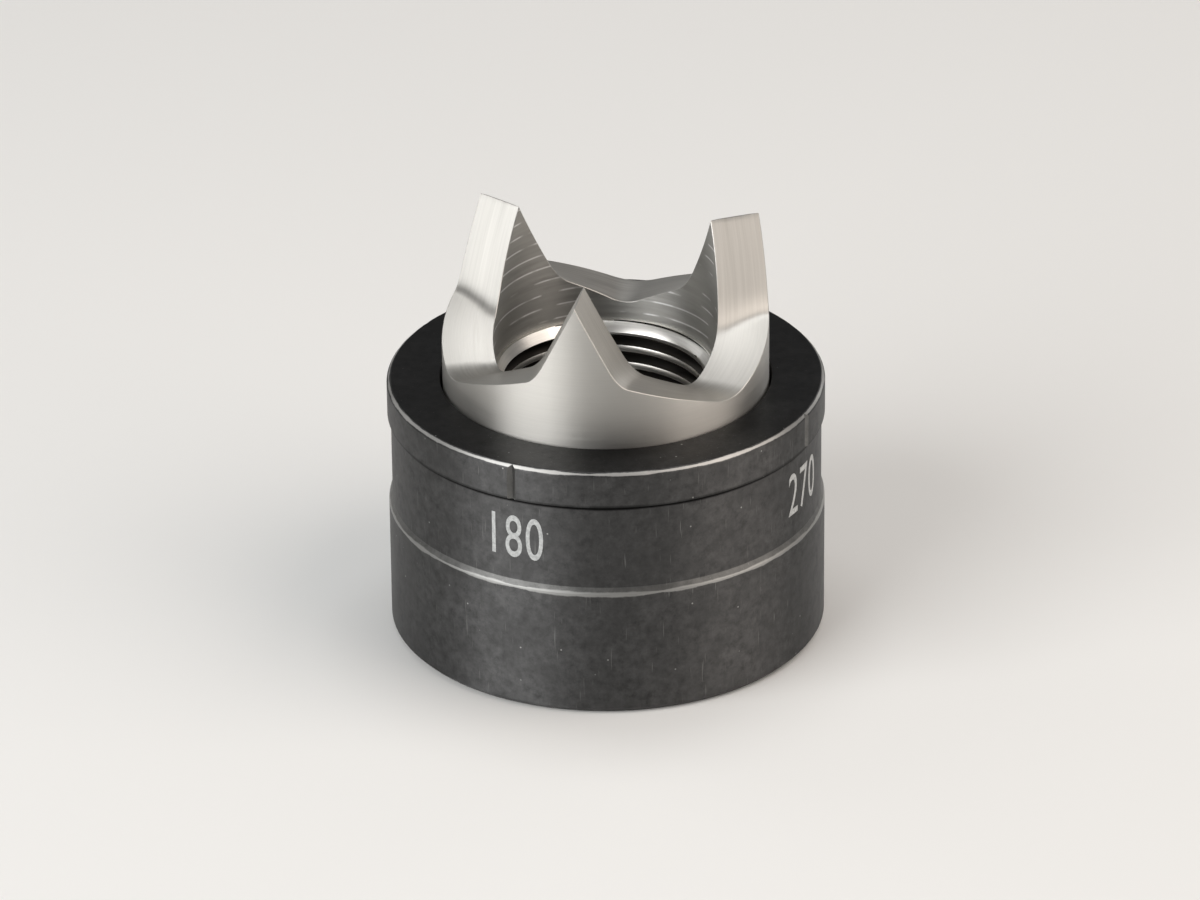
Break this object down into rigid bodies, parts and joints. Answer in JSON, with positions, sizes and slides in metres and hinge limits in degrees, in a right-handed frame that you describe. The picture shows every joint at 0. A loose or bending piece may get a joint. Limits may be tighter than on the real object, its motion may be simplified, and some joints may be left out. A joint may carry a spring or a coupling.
{
  "type": "knockout punch and die",
  "caption": "Sheet-metal knockout punch with radial chisel-edged prongs and a threaded bore, standing prongs up in its round steel die.",
  "frame": {"origin": "centre of the die's base face, on the punching axis", "axes": "+Z along the punching axis, from the die's base towards the prongs; -Y through one prong's tip"},
  "size_m": [0.038, 0.038, 0.0362],
  "materials": {
    "ground_steel": "hardened tool steel, ground bright, with fine milling lines along the cut faces",
    "blackened_steel": "hardened tool steel with a mottled black oxide finish, worn bright at the rim"
  },
  "bodies": {
    "die": {"die": "blackened_steel"},
    "punch": {"punch": "ground_steel"}
  },
  "joints": [
    {"name": "punch_lift", "type": "slide", "parent": "die", "child": "punch", "axis": [0, 0, 1], "range_m": [0, 0.018]}
  ]
}
